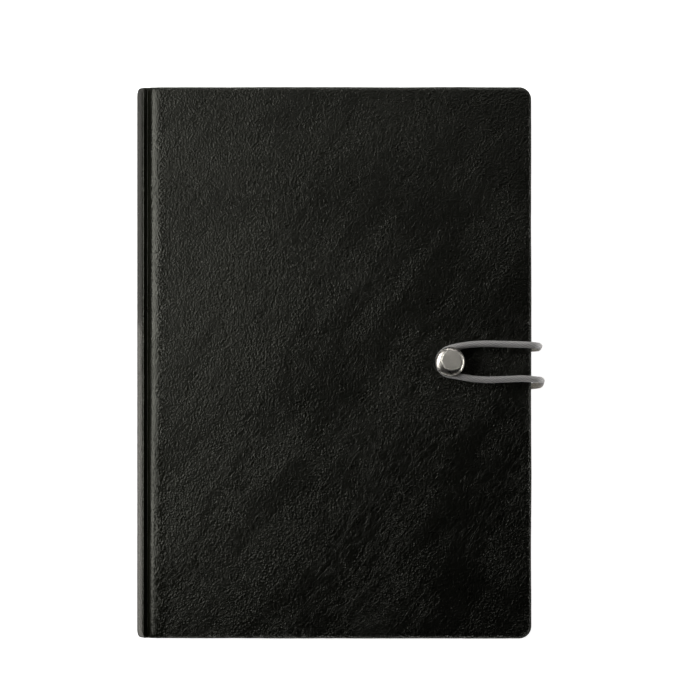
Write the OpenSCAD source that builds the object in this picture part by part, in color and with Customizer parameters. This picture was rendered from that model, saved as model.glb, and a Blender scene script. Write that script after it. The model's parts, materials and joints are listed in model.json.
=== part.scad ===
// Hard-cover leather notebook, lying closed on its back cover.
// X runs from the spine to the fore edge, Y from tail to head, Z up.
// The origin is the centre of the back cover's bottom face.

/* [Cover] */
// Length of the cover from tail to head
cover_h = 215; // [180:1:240]
// Width of the cover from the spine's outermost line to the fore edge
cover_w = 154.2; // [130:0.2:170]
// Thickness of the closed notebook without the stud
closed_t = 19; // [17.5:0.5:23]
// Radius of the cover's two fore-edge corners
corner_r = 4.7; // [3:0.1:8]

/* [Leather and boards] */
// Thickness of the leather over the boards
leather_t = 0.9; // [0.8:0.05:0.9]
// Thickness of each cover board
board_t = 2.4; // [2.4:0.1:2.6]
// Thickness of the leather folded over the boards' inner faces
turn_in_t = 0.4; // [0.3:0.05:0.4]
// Width of the leather folded over the boards' inner faces
turn_in_w = 15; // [12:1:18]
// Thickness of the endpapers
endpaper_t = 0.15; // [0.1:0.05:0.15]
// Distance from the cover's edges to the pastedowns
square_w = 2.5; // [2:0.1:3.5]

/* [Page block] */
// Number of folded signatures
signature_count = 8; // [8:1:8]
// How far the case overhangs the leaves at head and tail
overhang = 2.5; // [2:0.1:3.5]
// Width of the case less the width of a leaf
leaf_short = 7.2; // [6.6:0.1:8]
// Free height between the page block and the front pastedown
page_gap = 0.23; // [0.2:0.01:0.4]
// Diameter of the sewing thread
thread_d = 0.34; // [0.2:0.02:0.34]

/* [Stud] */
// Distance from the fore edge to the stud's centre
stud_inset = 31.7; // [31.5:0.1:31.8]
// Offset of the stud from the middle of the cover's length
stud_y = 0.4; // [0.3:0.1:0.5]
// Diameter of the stud's cap
cap_d = 11.5; // [11:0.1:12]
// Diameter of the flat on the cap
cap_flat_d = 8.5; // [7:0.1:9]
// Height of the cap
cap_h = 2; // [1.6:0.1:2.4]
// Diameter of the post under the cap
post_d = 6; // [5:0.1:6]
// Height of the post between the washer and the cap
post_h = 2.7; // [2.7:0.1:3.2]
// Diameter of the washer on the leather
washer_d = 10; // [9:0.1:10.5]
// Thickness of the washer
washer_t = 0.5; // [0.4:0.05:0.5]
// Diameter of the rivet's shank
shank_d = 3; // [2.5:0.1:3.2]
// Diameter of the rivet's plate inside the front board
plate_d = 8; // [7:0.1:9]

/* [Elastic] */
// Diameter of the round elastic
cord_d = 2.6; // [2.2:0.1:2.6]
// Diameter of the elastic where it is squeezed into the back board
cord_end_d = 2.2; // [1.8:0.1:2.2]
// Length of the elastic's two ends inside the back board
anchor_l = 25.5; // [15:0.5:30]

/* [Hidden] */

$fn = 96;
// Room between pieces that only lie against each other, and the overshoot of a cutting shape
clear = 0.05;
over = 1;

// Main planes
half_w = cover_w / 2;
half_h = cover_h / 2;
mid_z = closed_t / 2;
board_z1 = closed_t - leather_t;
board_z0 = board_z1 - board_t;
turn_z0 = board_z0 - turn_in_t;
paste_z0 = turn_z0 - endpaper_t;
block_z0 = closed_t - paste_z0 + endpaper_t;
flyleaf_z0 = paste_z0 - page_gap - endpaper_t;
signature_t = (flyleaf_z0 - clear - block_z0) / signature_count;
leaf_w = cover_w - leaf_short;
leaf_h = cover_h - 2 * overhang;

// Rounded spine: one centre for the leather, the stiffener, the lining and the folds
spine_top_z = closed_t - 3.1;
spine_bulge = 2.16;
spine_r = (pow(spine_top_z - mid_z, 2) + pow(spine_bulge, 2)) / (2 * spine_bulge);
spine_cx = spine_r - half_w;
stiffener_t = 0.5;
stiffener_top_z = spine_top_z - 1.5;
lining_r = spine_r - 1.6;
block_r = spine_r - 1.9;

// Where each layer of a cover stops at the spine side
leather_x0 = 9.8 - half_w;
board_x0 = 6.4 - half_w;
flyleaf_x0 = 4.4 - half_w;

// The outlines below are measured from the spine's outermost line and the front cover's face
function from_spine(path) = [for (p = path) p + [-half_w, closed_t]];

// Outer and inner face of the front groove, from the spine's shoulder over the board's rounded edge
groove_outer = from_spine([
  [2.16, -3.05], [2.5, -2.6], [3, -2.35], [3.6, -2.5], [4.4, -2.95], [4.9, -2.6],
  [5.4, -2.05], [6.4, -1.16], [7.4, -0.58], [8.5, -0.2], [9.8, 0]
]);
groove_inner = from_spine([
  [3.05, -3.05], [3.25, -2.95], [3.7, -3.2], [4.4, -3.6], [5.1, -3.35], [5.6, -2.85],
  [6.1, -2.3], [6.9, -1.6], [7.8, -1.05], [8.8, -0.72], [9.8, -0.6]
]);

// Spine-side edge of the front board, thinned so that the leather slopes into the groove
board_edge = from_spine([[6.4, -3.3], [6.4, -2.6], [7.1, -1.8], [8, -1.2], [9.2, -0.9]]);

// Centres of the stud and of the elastic's two exits
stud_x = half_w - stud_inset;
exit_ys = [5.6, -9.2];
exit_z = 2.1;
cap_z = closed_t + washer_t + post_h;

// Route of the elastic's loop, measured from the fore edge and the front cover's face: up one
// strand, over the cover, round the post and down the other strand
loop_path = [
  for (p = [
    [3.2, 6.2, -8], [3.2, 6.4, -5], [3.1, 6.5, -2.4], [2.6, 6.6, -0.3], [1.2, 6.8, 1.1],
    [-0.8, 6.95, 1.5], [-4.3, 7.1, 1.45], [-10.8, 7.3, 1.4], [-17.8, 7.4, 1.4], [-22.8, 7.2, 1.45],
    [-26.6, 6.75, 1.6], [-29.4, 6.25, 1.8], [-31.8, 5.6, 1.85], [-34, 4.55, 1.85],
    [-35.6, 2.8, 1.85], [-36.17, 0.6, 1.85], [-35.75, -1.7, 1.85], [-34.4, -3.5, 1.85],
    [-32.2, -4.6, 1.85], [-29.4, -5.15, 1.75], [-26.4, -5.65, 1.6], [-22.4, -6.25, 1.45],
    [-16.8, -6.6, 1.4], [-10.8, -6.4, 1.4], [-4.3, -6.15, 1.45], [-0.8, -6.3, 1.55],
    [1.6, -6.5, 1.3], [3.3, -6.7, 0], [4, -6.95, -2.2], [4.1, -7.3, -5], [4.1, -7.7, -8]
  ])
  p + [half_w, 0, closed_t]
];

// Route of the two strands from the back cover's edge up to the loop, measured from the fore edge
riser_starts = [
  [[0, 5.6, 2.1], [1.1, 5.6, 2.15], [2.2, 5.6, 2.8], [2.9, 5.7, 4.1], [3.2, 5.8, 5.8]],
  [[0, -9.2, 2.1], [1.3, -9.2, 2.15], [2.8, -9, 2.9], [3.7, -8.8, 4.3], [4.1, -8.5, 6]]
];
riser_ends = [loop_path[0], loop_path[len(loop_path) - 1]];
riser_gap = 0.2;
riser_paths = [
  for (i = [0, 1])
    concat(
      [for (p = riser_starts[i]) p + [half_w + riser_gap / 2, 0, 0]],
      [riser_ends[i] - [0, 0, riser_gap]]
    )
];
cord_sides = 8;

// ---- Curves ----

function unit(v) = v / norm(v);

// Point at u between p1 and p2 on the smooth curve through p0, p1, p2 and p3
function blend_point(p0, p1, p2, p3, u) =
  0.5 * (2 * p1 + (p2 - p0) * u + (2 * p0 - 5 * p1 + 4 * p2 - p3) * u * u
         + (3 * p1 - p0 - 3 * p2 + p3) * u * u * u);

// The smooth curve through all the points of a path, in steps of 1/n of a stretch
function smooth(path, n) =
  let (last = len(path) - 1)
  concat(
    [for (i = [0:last - 1], k = [0:n - 1])
      blend_point(path[max(i - 1, 0)], path[i], path[i + 1], path[min(i + 2, last)], k / n)],
    [path[last]]
  );

function direction(path, i) = unit(path[min(i + 1, len(path) - 1)] - path[max(i - 1, 0)]);

// One vector square to the path at each of its points, carried along without twist
function carried(path, first) = [
  for (i = 0, v = first; i < len(path); i = i + 1,
       v = i < len(path) ? unit(v - direction(path, i) * (direction(path, i) * v)) : v) v
];

// A closed tube along a smooth path; its two end faces are square to first and last direction
module tube(path, d, side) {
  n = len(path);
  across = carried(path, side);
  points = [
    for (i = [0:n - 1], k = [0:cord_sides - 1])
      let (a = 360 * k / cord_sides, w = cross(direction(path, i), across[i]))
      path[i] + d / 2 * (cos(a) * across[i] + sin(a) * w)
  ];
  sides = [
    for (i = [0:n - 2], k = [0:cord_sides - 1])
      let (a = i * cord_sides + k, b = i * cord_sides + (k + 1) % cord_sides)
      [a, a + cord_sides, b + cord_sides, b]
  ];
  ends = [
    [for (k = [0:cord_sides - 1]) k],
    [for (k = [cord_sides - 1:-1:0]) (n - 1) * cord_sides + k]
  ];
  polyhedron(points, concat(sides, ends));
}

// ---- Shared shapes ----

// Extrudes an outline drawn in X and Z along Y, centred
module along_y(length) {
  translate([0, length / 2, 0])
    rotate([90, 0, 0])
      linear_extrude(length)
        children();
}

// The same shape on the back cover
module on_back() {
  translate([0, 0, closed_t])
    mirror([0, 0, 1])
      children();
}

// Plan of a cover layer, inset from the cover's three free edges and cut straight at x0
module plan(inset, x0) {
  r = max(corner_r - inset, 0.6);
  fore = half_w - inset;
  side = half_h - inset;
  translate([x0, -side])
    square([fore - r - x0, 2 * side]);
  translate([x0, r - side])
    square([fore - x0, 2 * (side - r)]);
  for (s = [-1, 1])
    translate([fore - r, s * (side - r)])
      circle(r);
}

module layer(inset, x0, z0, z1) {
  translate([0, 0, z0])
    linear_extrude(z1 - z0)
      plan(inset, x0);
}

// Part of a ring round the spine's centre line, from z0 to z1
module spine_band(r_out, r_in, z0, z1) {
  intersection() {
    translate([spine_cx, mid_z])
      difference() {
        circle(r_out, $fn = 180);
        circle(r_in, $fn = 180);
      }
    translate([spine_cx - spine_r - over, z0])
      square([spine_r + over, z1 - z0]);
  }
}

module at_stud(z) {
  translate([stud_x, stud_y, z])
    children();
}

// ---- Pieces of a cover, drawn as the front one ----

// Leather over a board: outer face, three edges and the turn-ins folded over the inner face
module case_leather() {
  difference() {
    union() {
      layer(0, leather_x0, turn_z0, closed_t);
      layer(0, board_x0, turn_z0, board_z0);
    }
    layer(leather_t, board_x0 - over, board_z0, board_z1);
    layer(leather_t + turn_in_w, board_x0 - over, turn_z0 - over, board_z0 + over);
  }
}

module case_board() {
  fore = half_w - leather_t;
  intersection() {
    layer(leather_t, board_x0, board_z0, board_z1);
    along_y(cover_h)
      polygon(concat(board_edge, [[fore + over, board_z1], [fore + over, board_z0]]));
  }
}

// Endpaper glued over the turn-ins and down onto the board between them
module case_pastedown() {
  layer(square_w, board_x0, paste_z0, turn_z0);
  layer(leather_t + turn_in_w, board_x0, paste_z0, board_z0);
}

// Leather pressed down into the groove between spine and board
module case_joint() {
  inner = smooth(groove_inner, 2);
  along_y(cover_h)
    polygon(concat(smooth(groove_outer, 2), [for (i = [len(inner) - 1:-1:0]) inner[i]]));
}

// ---- Case ----

module back_leather() {
  color("#1f1f1c")
    difference() {
      on_back()
        case_leather();
      for (y = exit_ys)
        translate([half_w - leather_t - over / 2, y, exit_z])
          rotate([0, 90, 0])
            cylinder(d = cord_end_d + 2 * clear, h = leather_t + over);
    }
}

module back_board() {
  color("#8f7f68")
    difference() {
      on_back()
        case_board();
      for (y = exit_ys)
        translate([half_w - anchor_l - leather_t, y - cord_end_d / 2 - clear, 0])
          cube([anchor_l + 2 * leather_t, cord_end_d + 2 * clear, board_z0]);
    }
}

module back_pastedown() {
  color("#efe6cf")
    on_back()
      case_pastedown();
}

module back_joint_leather() {
  color("#1f1f1c")
    on_back()
      case_joint();
}

module spine_leather() {
  color("#1f1f1c")
    along_y(cover_h)
      spine_band(spine_r, spine_r - leather_t, closed_t - spine_top_z, spine_top_z);
}

module spine_stiffener() {
  r = spine_r - leather_t - clear;
  color("#9a8b74")
    along_y(leaf_h + 1)
      spine_band(r, r - stiffener_t + clear, closed_t - stiffener_top_z, stiffener_top_z);
}

module front_joint_leather() {
  color("#1f1f1c")
    case_joint();
}

module front_leather() {
  color("#1f1f1c")
    difference() {
      case_leather();
      at_stud(board_z1 - over)
        cylinder(d = shank_d + 2 * clear, h = leather_t + 2 * over);
    }
}

module front_board() {
  color("#8f7f68")
    difference() {
      case_board();
      at_stud(board_z0 - over)
        cylinder(d = shank_d + 2 * clear, h = board_t + 2 * over);
    }
}

module front_pastedown() {
  color("#efe6cf")
    difference() {
      case_pastedown();
      at_stud(turn_z0)
        cylinder(d = plate_d + 2 * clear, h = turn_in_t + over);
    }
}

// ---- Page block ----

// Middle height of a signature, and the centre of its round fold, which touches the block's rounded back
function signature_z(i) = block_z0 + signature_t * (i + 0.5);
function fold_x(i) =
  spine_cx - sqrt(pow(block_r - signature_t / 2, 2) - pow(signature_z(i) - mid_z, 2));

module thread_hole(i, d) {
  translate([fold_x(i), signature_z(i)])
    circle(d = d, $fn = 24);
}

module signature(i) {
  r = signature_t / 2;
  color(i % 2 == 0 ? "#f4ecd8" : "#f0e7d0")
    along_y(leaf_h)
      difference() {
        union() {
          translate([fold_x(i), signature_z(i)])
            circle(r);
          translate([fold_x(i), signature_z(i) - r])
            square([leaf_w - r, signature_t]);
        }
        thread_hole(i, thread_d + clear);
      }
}

module sewing_thread() {
  color("#e8e4da")
    along_y(leaf_h - 10)
      for (i = [0:signature_count - 1])
        thread_hole(i, thread_d);
}

module back_flyleaf() {
  color("#efe6cf")
    translate([flyleaf_x0, -leaf_h / 2, block_z0 - endpaper_t])
      cube([leaf_w, leaf_h, endpaper_t]);
}

module front_flyleaf() {
  color("#efe6cf")
    translate([flyleaf_x0, -leaf_h / 2, flyleaf_z0])
      cube([leaf_w - 1, leaf_h, endpaper_t]);
}

module spine_lining() {
  color("#d9cfb8")
    along_y(leaf_h - 8)
      spine_band(lining_r, block_r + clear / 2, block_z0 + 0.4, signature_z(signature_count - 0.8));
}

module end_band() {
  along_y(1.2)
    spine_band(lining_r, block_r - 1, block_z0 + 0.2, signature_z(signature_count - 0.7));
}

module head_band() {
  color("#4a4a46")
    translate([0, leaf_h / 2 + 0.65, 0])
      end_band();
}

module tail_band() {
  color("#4a4a46")
    translate([0, -leaf_h / 2 - 0.65, 0])
      end_band();
}

// ---- Stud ----

module stud_cap() {
  bevel = (cap_d - cap_flat_d) / 2;
  bore = shank_d / 2 + clear;
  post_z = closed_t + washer_t;
  bore_top = cap_z - 0.6;
  color("#9a978e")
    at_stud(0)
      rotate_extrude()
        polygon([
          [bore, post_z], [post_d / 2, post_z], [post_d / 2, cap_z], [cap_d / 2 - 0.3, cap_z],
          [cap_d / 2, cap_z + 0.3], [cap_d / 2, cap_z + cap_h - bevel * 0.6],
          [cap_flat_d / 2, cap_z + cap_h], [0, cap_z + cap_h], [0, bore_top], [bore, bore_top]
        ]);
}

module stud_washer() {
  color("#85827a")
    at_stud(closed_t)
      difference() {
        cylinder(d = washer_d, h = washer_t);
        translate([0, 0, -over])
          cylinder(d = shank_d + 2 * clear, h = washer_t + 2 * over);
      }
}

module stud_rivet() {
  color("#85827a")
    at_stud(turn_z0) {
      cylinder(d = plate_d, h = turn_in_t);
      cylinder(d = shank_d, h = cap_z - 0.8 - turn_z0);
    }
}

// ---- Elastic ----

module elastic_anchors() {
  color("#7b7a76")
    for (y = exit_ys)
      translate([half_w - anchor_l, y, exit_z])
        rotate([0, 90, 0])
          cylinder(d = cord_end_d, h = anchor_l);
}

module elastic_riser() {
  color("#7b7a76")
    for (path = riser_paths)
      tube(smooth(path, 2), cord_d, [0, 1, 0]);
}

module elastic_loop() {
  color("#7b7a76")
    tube(smooth(loop_path, 2), cord_d, [0, 1, 0]);
}

back_leather();
back_board();
back_pastedown();
back_flyleaf();
signature(0);  // signature_1
signature(1);  // signature_2
signature(2);  // signature_3
signature(3);  // signature_4
signature(4);  // signature_5
signature(5);  // signature_6
signature(6);  // signature_7
signature(7);  // signature_8
sewing_thread();
spine_lining();
head_band();
tail_band();
elastic_anchors();
back_joint_leather();
spine_leather();
spine_stiffener();
front_joint_leather();
front_leather();
front_board();
front_pastedown();
stud_cap();
stud_washer();
stud_rivet();
front_flyleaf();
elastic_riser();
elastic_loop();
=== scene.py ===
"""Closed hard-cover leather notebook with a riveted stud and an elastic loop."""
import json
import math
import random
from types import SimpleNamespace

import bmesh
import bpy
import numpy as np
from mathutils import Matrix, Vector, noise


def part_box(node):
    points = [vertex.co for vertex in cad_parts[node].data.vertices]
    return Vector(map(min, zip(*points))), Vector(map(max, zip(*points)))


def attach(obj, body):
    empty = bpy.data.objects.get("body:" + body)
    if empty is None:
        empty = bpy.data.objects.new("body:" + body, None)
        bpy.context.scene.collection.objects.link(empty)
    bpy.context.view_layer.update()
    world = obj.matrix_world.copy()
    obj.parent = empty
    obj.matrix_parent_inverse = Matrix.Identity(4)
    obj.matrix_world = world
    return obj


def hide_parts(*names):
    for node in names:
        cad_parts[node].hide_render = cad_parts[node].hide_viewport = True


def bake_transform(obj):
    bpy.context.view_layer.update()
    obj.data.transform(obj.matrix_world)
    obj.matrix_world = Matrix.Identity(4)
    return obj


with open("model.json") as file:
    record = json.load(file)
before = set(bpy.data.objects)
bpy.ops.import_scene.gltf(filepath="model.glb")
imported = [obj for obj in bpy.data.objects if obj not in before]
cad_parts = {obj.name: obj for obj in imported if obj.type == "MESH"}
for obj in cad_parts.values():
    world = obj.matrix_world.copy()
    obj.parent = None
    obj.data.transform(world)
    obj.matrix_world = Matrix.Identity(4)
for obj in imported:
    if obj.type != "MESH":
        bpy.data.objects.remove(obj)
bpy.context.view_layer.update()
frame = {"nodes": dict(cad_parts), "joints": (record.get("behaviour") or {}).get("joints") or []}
MM = 0.001

# ---- Driving dimensions, from the frame ----

FRONT_LO, FRONT_HI = (Vector(c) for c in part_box("front_leather"))
LEFT = Vector(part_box("spine_leather")[0]).x
FORE = FRONT_HI.x
HEAD = FRONT_HI.y
TOP = FRONT_HI.z
MID_Z = TOP / 2
CAP_LO, CAP_HI = (Vector(c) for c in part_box("stud_cap"))
STUD = (CAP_LO + CAP_HI) / 2
CORNER_R = 4.7 * MM
LEATHER_T = 0.9 * MM
BOARD_T = FRONT_HI.z - FRONT_LO.z
FRONT_HINGE = Vector(next(j for j in frame["joints"] if j["name"] == "front_groove")["pos_m"])

# ---- Camera, light and floor ----

SENSOR_WIDTH, LENS = 36, 200
# What the camera sees at the height of the cover: the middle and the width
VIEW_CENTRE, VIEW_WIDTH = (0.0064, 0.005), 0.2728
# Keys: name, place, target, size, energy and spread in degrees. They stand close to the notebook's left
# and head, so that the light falls off across the cover. The left ones are limited in spread, so that
# they glare less on the endpaper of the opened cover under them.
KEYS = (
    ("key_left_head", (-0.17, 0.15, 0.14), (0, 0.10, 0.02), (0.12, 0.06), 0.13, 150),
    ("key_left", (-0.17, 0.03, 0.14), (0, 0.02, 0.02), (0.12, 0.06), 0.175, 150),
    ("key_left_tail", (-0.16, -0.07, 0.08), (-0.03, -0.05, 0.02), (0.08, 0.05), 0.045, 130),
    ("key_head", (-0.03, 0.24, 0.20), (-0.02, 0.10, 0), (0.16, 0.06), 0.06, 180),
    ("key_head_right", (0.08, 0.22, 0.16), (0.06, 0.10, 0), (0.10, 0.06), 0.062, 180),
)
# Cards beside the spine that face up: name, Y and energy
CARDS = (("card_head", 0.09, 0.016), ("card_tail", -0.06, 0.036))
CARD_X, CARD_Z, CARD_SIZE = -0.106, 0.001, (0.042, 0.15)
CARD_COLOR = (1, 0.97, 0.91)
# Low fills for the edges of the pages: name, X and Y. They lie below the front cover's face and so
# don't touch it.
LOW_FILLS = (("low_front", 0.0, -0.26), ("low_right", 0.23, 0), ("low_back", 0.0, 0.26))
LOW_Z, LOW_SIZE, LOW_ENERGY = 0.009, (0.3, 0.016), 0.3
# The surroundings' light is brighter near the horizon than overhead, so that low views show some gloss
HORIZON_LIGHT, OVERHEAD_LIGHT, OVERHEAD_FROM = 0.10, 0.003, 0.4


def look_at(obj, target):
    obj.rotation_euler = (Vector(target) - obj.location).to_track_quat("-Z", "Y").to_euler()


def make_camera():
    data = bpy.data.cameras.new("camera")
    camera = bpy.data.objects.new("camera", data)
    bpy.context.collection.objects.link(camera)
    data.sensor_width = SENSOR_WIDTH
    data.lens = LENS
    data.clip_end = 50
    camera.location = (*VIEW_CENTRE, TOP + VIEW_WIDTH * LENS / SENSOR_WIDTH)
    bpy.context.scene.camera = camera


def area_light(name, location, target, size, energy, color=(1, 1, 1), spread=180):
    data = bpy.data.lights.new(name, "AREA")
    data.shape = "RECTANGLE"
    data.size, data.size_y = size
    data.energy = energy
    data.color = color
    data.spread = math.radians(spread)
    light = bpy.data.objects.new(name, data)
    bpy.context.collection.objects.link(light)
    light.location = location
    look_at(light, target)
    return light


def make_lights():
    for name, place, target, size, energy, spread in KEYS:
        key = area_light(name, place, target, size, energy, spread=spread)
        key.visible_camera = False
    for name, y, energy in CARDS:
        card = area_light(name, (CARD_X, y, CARD_Z), (CARD_X, y, 1), CARD_SIZE, energy, CARD_COLOR)
        card.rotation_euler = (math.pi, 0, 0)
        card.visible_camera = False
    for name, x, y in LOW_FILLS:
        fill = area_light(name, (x, y, LOW_Z), (0, 0, LOW_Z), LOW_SIZE, LOW_ENERGY)
        fill.visible_camera = False


def make_world():
    world = bpy.data.worlds.new("world")
    bpy.context.scene.world = world
    world.use_nodes = True
    nodes, links = world.node_tree.nodes, world.node_tree.links
    nodes.clear()
    path = nodes.new("ShaderNodeLightPath")
    light = nodes.new("ShaderNodeBackground")
    light.inputs["Color"].default_value = (1, 0.99, 0.96, 1)
    place = nodes.new("ShaderNodeTexCoord")
    split = nodes.new("ShaderNodeSeparateXYZ")
    fall = nodes.new("ShaderNodeMapRange")
    fall.interpolation_type = "SMOOTHSTEP"
    fall.inputs["From Max"].default_value = OVERHEAD_FROM
    fall.inputs["To Min"].default_value = HORIZON_LIGHT
    fall.inputs["To Max"].default_value = OVERHEAD_LIGHT
    links.new(place.outputs["Generated"], split.inputs[0])
    links.new(split.outputs["Z"], fall.inputs["Value"])
    links.new(fall.outputs["Result"], light.inputs["Strength"])
    seen = nodes.new("ShaderNodeBackground")
    seen.inputs["Color"].default_value = (1, 1, 1, 1)
    mix = nodes.new("ShaderNodeMixShader")
    out = nodes.new("ShaderNodeOutputWorld")
    links.new(path.outputs["Is Camera Ray"], mix.inputs[0])
    links.new(light.outputs[0], mix.inputs[1])
    links.new(seen.outputs[0], mix.inputs[2])
    links.new(mix.outputs[0], out.inputs[0])


def make_floor():
    bpy.ops.mesh.primitive_circle_add(vertices=64, radius=4, fill_type="NGON", location=(0, 0, -0.0002))
    floor = bpy.context.object
    floor.name = "floor"
    m = bpy.data.materials.new("floor_white")
    m.use_nodes = True
    shader = m.node_tree.nodes["Principled BSDF"]
    shader.inputs["Base Color"].default_value = (0.85, 0.85, 0.84, 1)
    shader.inputs["Roughness"].default_value = 0.9
    shader.inputs["Specular IOR Level"].default_value = 0.1
    shader.inputs["Emission Color"].default_value = (1, 1, 1, 1)
    shader.inputs["Emission Strength"].default_value = 0.95
    floor.data.materials.append(m)
    # The floor is seen but isn't mirrored in the leather, whose edges are black in the photograph
    floor.visible_glossy = False
    floor.visible_diffuse = False


bpy.context.scene.view_settings.view_transform = "Standard"
bpy.context.scene.view_settings.look = "None"
make_camera()
make_lights()
make_world()
make_floor()

# ---- Mesh helpers ----


def unit(v):
    return v / np.maximum(np.linalg.norm(v, axis=-1, keepdims=True), 1e-12)


def smooth_path(points, n):
    """The Catmull-Rom curve through points, in n steps a stretch."""
    p = np.array(points, float)
    ext = np.vstack([2 * p[0] - p[1], p, 2 * p[-1] - p[-2]])
    out = []
    for i in range(len(p) - 1):
        a, b, c, d = ext[i : i + 4]
        square = 2 * a - 5 * b + 4 * c - d
        cubic = 3 * b - a - 3 * c + d
        for u in np.arange(n) / n:
            out.append(0.5 * (2 * b + (c - a) * u + square * u**2 + cubic * u**3))
    return np.array(out + [p[-1]])


def evenly(path, step):
    """The path with points at even distances of about step, and each point's distance along it."""
    along = np.concatenate([[0], np.cumsum(np.linalg.norm(np.diff(path, axis=0), axis=1))])
    s = np.linspace(0, along[-1], max(2, int(round(along[-1] / step)) + 1))
    return np.stack([np.interp(s, along, path[:, k]) for k in range(path.shape[1])], axis=1), s


def new_mesh(name, verts, faces, smooth=True):
    mesh = bpy.data.meshes.new(name)
    mesh.from_pydata([tuple(v) for v in verts], [], [tuple(int(i) for i in f) for f in faces])
    mesh.validate()
    obj = bpy.data.objects.new(name, mesh)
    bpy.context.collection.objects.link(obj)
    for p in mesh.polygons:
        p.use_smooth = smooth
    return obj


def fix_normals(obj):
    bm = bmesh.new()
    bm.from_mesh(obj.data)
    bmesh.ops.recalc_face_normals(bm, faces=bm.faces)
    bm.to_mesh(obj.data)
    bm.free()


def sharp_edges(obj, degrees):
    """Edges sharper than this are shaded sharp."""
    bm = bmesh.new()
    bm.from_mesh(obj.data)
    limit = math.radians(degrees)
    for e in bm.edges:
        e.smooth = len(e.link_faces) == 2 and e.calc_face_angle(0) < limit
    bm.to_mesh(obj.data)
    bm.free()


def keep_rest(obj):
    """Stores the rest place of each vertex, so that a material stays put when the piece moves or bends."""
    co = np.empty(len(obj.data.vertices) * 3, np.float32)
    obj.data.vertices.foreach_get("co", co)
    attribute = obj.data.attributes.new("rest", "FLOAT_VECTOR", "POINT")
    attribute.data.foreach_set("vector", co)


def finish_piece(obj, material, body=None, replaces=()):
    keep_rest(obj)
    obj.data.materials.append(material)
    if replaces:
        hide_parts(*replaces)
    if body:
        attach(obj, body)
    return obj


# ---- Material helpers ----


class Tree:
    """A small wrapper that adds nodes and links to one material."""

    def __init__(self, name):
        self.material = bpy.data.materials.new(name)
        self.material.use_nodes = True
        self.nodes = self.material.node_tree.nodes
        self.links = self.material.node_tree.links
        self.shader = self.nodes["Principled BSDF"]

    def add(self, kind, inputs=None, **settings):
        node = self.nodes.new(kind)
        for key, value in settings.items():
            setattr(node, key, value)
        for key, value in (inputs or {}).items():
            if isinstance(value, bpy.types.NodeSocket):
                self.links.new(value, node.inputs[key])
            else:
                node.inputs[key].default_value = value
        return node

    def rest(self, scale=(1000, 1000, 1000), turn=0.0):
        """Rest place in millimetres, turned about Z and scaled."""
        source = self.add("ShaderNodeAttribute", attribute_name="rest")
        place = source.outputs["Vector"]
        turned = self.add("ShaderNodeMapping", {"Vector": place, "Rotation": (0, 0, turn)})
        scaled = self.add("ShaderNodeMapping", {"Vector": turned.outputs["Vector"], "Scale": scale})
        return scaled.outputs["Vector"]

    def warped(self, vector, scale, amount):
        """The vector pushed about by smooth noise, by up to amount."""
        push = self.add("ShaderNodeTexNoise", {"Vector": vector, "Scale": scale, "Detail": 2.0})
        out = self.add("ShaderNodeVectorMath", operation="MULTIPLY_ADD")
        self.links.new(push.outputs["Color"], out.inputs[0])
        out.inputs[1].default_value = (amount, amount, amount)
        self.links.new(vector, out.inputs[2])
        return out.outputs[0]

    def noise(self, vector, scale, detail=2.0, roughness=0.5, distortion=0.0):
        inputs = {"Vector": vector, "Scale": scale, "Detail": detail}
        inputs.update({"Roughness": roughness, "Distortion": distortion})
        return self.add("ShaderNodeTexNoise", inputs).outputs["Fac"]

    def voronoi(self, vector, scale):
        return self.add("ShaderNodeTexVoronoi", {"Vector": vector, "Scale": scale}).outputs["Distance"]

    def math(self, operation, a, b=0.0):
        return self.add("ShaderNodeMath", {0: a, 1: b}, operation=operation).outputs[0]

    def ramp(self, value, low, high, out_low=0.0, out_high=1.0):
        inputs = {"Value": value, "From Min": low, "From Max": high, "To Min": out_low, "To Max": out_high}
        node = self.add("ShaderNodeMapRange", inputs, interpolation_type="SMOOTHSTEP")
        return node.outputs["Result"]

    def color(self, factor, a, b):
        node = self.add("ShaderNodeMix", data_type="RGBA")
        self.links.new(factor, node.inputs[0])
        node.inputs[6].default_value = (*a, 1)
        node.inputs[7].default_value = (*b, 1)
        return node.outputs[2]

    def bump(self, height, distance, normal=None):
        inputs = {"Height": height, "Distance": distance, "Strength": 1.0}
        if normal is not None:
            inputs["Normal"] = normal
        return self.add("ShaderNodeBump", inputs).outputs["Normal"]

    def put(self, **sockets):
        for key, value in sockets.items():
            name = key.replace("_", " ")
            if isinstance(value, bpy.types.NodeSocket):
                self.links.new(value, self.shader.inputs[name])
            else:
                self.shader.inputs[name].default_value = value


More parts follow.
